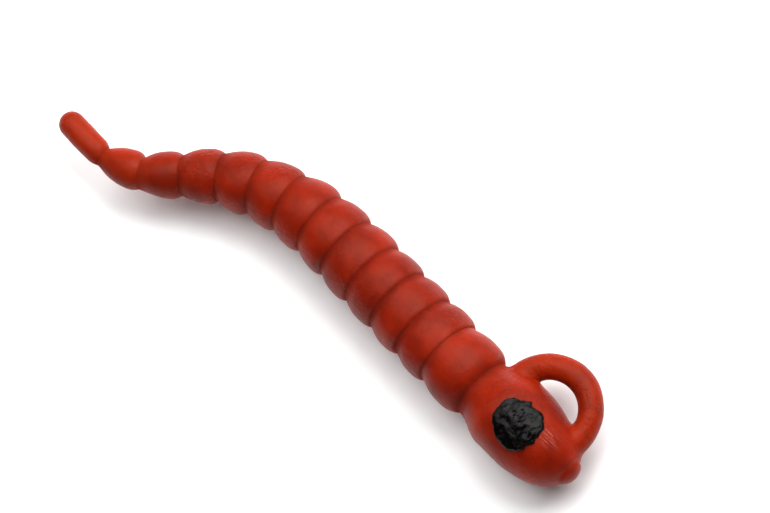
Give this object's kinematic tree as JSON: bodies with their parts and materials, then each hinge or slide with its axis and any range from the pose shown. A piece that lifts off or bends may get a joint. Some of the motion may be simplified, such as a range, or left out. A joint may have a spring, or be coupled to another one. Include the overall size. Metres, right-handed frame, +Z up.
{
  "type": "soft plastic worm",
  "caption": "Small segmented soft plastic fishing worm: tapered ringed body with an arched back and upturned tail, bullet head with dark painted eyes and a moulded loop on the nape.",
  "frame": {"origin": "middle of the bounding box, at its base: the level surface that the worm lies on, on its left side", "axes": "+X along the worm towards the head; +Y towards its back, where the loop is; +Z up, square to the mould's parting plane"},
  "size_m": [0.0414, 0.0082, 0.0058],
  "materials": {
    "body": "satin",
    "tail": "satin",
    "loop": "satin",
    "eye_paint": "satin"
  },
  "bodies": {
    "head": {"head": "body", "eye_right": "eye_paint", "eye_left": "eye_paint"},
    "loop": {"loop": "loop"},
    "segment_01": {"segment_01": "body"},
    "segment_02": {"segment_02": "body"},
    "segment_03": {"segment_03": "body"},
    "segment_04": {"segment_04": "body"},
    "segment_05": {"segment_05": "body"},
    "segment_06": {"segment_06": "body"},
    "segment_07": {"segment_07": "body"},
    "segment_08": {"segment_08": "body"},
    "segment_09": {"segment_09": "body"},
    "segment_10": {"segment_10": "body"},
    "segment_11": {"segment_11": "body"},
    "segment_12": {"segment_12": "tail"},
    "tail_tip": {"tail_tip": "tail"}
  },
  "joints": [
    {"name": "neck_bend", "type": "hinge", "parent": "head", "child": "segment_01", "pos_m": [0.01243, -0.00089, 0.00288], "axis": [0, 0, 1], "range_deg": [-15, 15], "stiffness_Nm_per_rad": 0.002},
    {"name": "crease_02_bend", "type": "hinge", "parent": "segment_01", "child": "segment_02", "pos_m": [0.00934, -0.00032, 0.00288], "axis": [0, 0, 1], "range_deg": [-15, 15], "stiffness_Nm_per_rad": 0.0039},
    {"name": "crease_03_bend", "type": "hinge", "parent": "segment_02", "child": "segment_03", "pos_m": [0.00696, 0.00012, 0.00288], "axis": [0, 0, 1], "range_deg": [-15, 15], "stiffness_Nm_per_rad": 0.0039},
    {"name": "crease_04_bend", "type": "hinge", "parent": "segment_03", "child": "segment_04", "pos_m": [0.00458, 0.00056, 0.00288], "axis": [0, 0, 1], "range_deg": [-15, 15], "stiffness_Nm_per_rad": 0.0039},
    {"name": "crease_05_bend", "type": "hinge", "parent": "segment_04", "child": "segment_05", "pos_m": [0.0022, 0.001, 0.00288], "axis": [0, 0, 1], "range_deg": [-15, 15], "stiffness_Nm_per_rad": 0.0038},
    {"name": "crease_06_bend", "type": "hinge", "parent": "segment_05", "child": "segment_06", "pos_m": [-0.00018, 0.00144, 0.00288], "axis": [0, 0, 1], "range_deg": [-15, 15], "stiffness_Nm_per_rad": 0.0033},
    {"name": "crease_07_bend", "type": "hinge", "parent": "segment_06", "child": "segment_07", "pos_m": [-0.00258, 0.00175, 0.00288], "axis": [0, 0, 1], "range_deg": [-15, 15], "stiffness_Nm_per_rad": 0.0027},
    {"name": "crease_08_bend", "type": "hinge", "parent": "segment_07", "child": "segment_08", "pos_m": [-0.005, 0.00179, 0.00288], "axis": [0, 0, 1], "range_deg": [-15, 15], "stiffness_Nm_per_rad": 0.002},
    {"name": "crease_09_bend", "type": "hinge", "parent": "segment_08", "child": "segment_09", "pos_m": [-0.0074, 0.00145, 0.00288], "axis": [0, 0, 1], "range_deg": [-15, 15], "stiffness_Nm_per_rad": 0.0013},
    {"name": "crease_10_bend", "type": "hinge", "parent": "segment_09", "child": "segment_10", "pos_m": [-0.00969, 0.00066, 0.00288], "axis": [0, 0, 1], "range_deg": [-15, 15], "stiffness_Nm_per_rad": 0.00074},
    {"name": "crease_11_bend", "type": "hinge", "parent": "segment_10", "child": "segment_11", "pos_m": [-0.01185, -0.00066, 0.00288], "axis": [0, 0, 1], "range_deg": [-15, 15], "stiffness_Nm_per_rad": 0.00036},
    {"name": "crease_12_bend", "type": "hinge", "parent": "segment_11", "child": "segment_12", "pos_m": [-0.01412, -0.00205, 0.00288], "axis": [0, 0, 1], "range_deg": [-15, 15], "stiffness_Nm_per_rad": 0.00014},
    {"name": "crease_13_bend", "type": "hinge", "parent": "segment_12", "child": "tail_tip", "pos_m": [-0.01685, -0.00256, 0.00288], "axis": [0, 0, 1], "range_deg": [-15, 15], "stiffness_Nm_per_rad": 0.000042},
    {"name": "loop_swing", "type": "hinge", "parent": "head", "child": "loop", "pos_m": [0.01666, 0.00019, 0.00288], "axis": [0.9588, -0.284, 0], "range_deg": [-20, 20], "stiffness_Nm_per_rad": 0.0002}
  ]
}
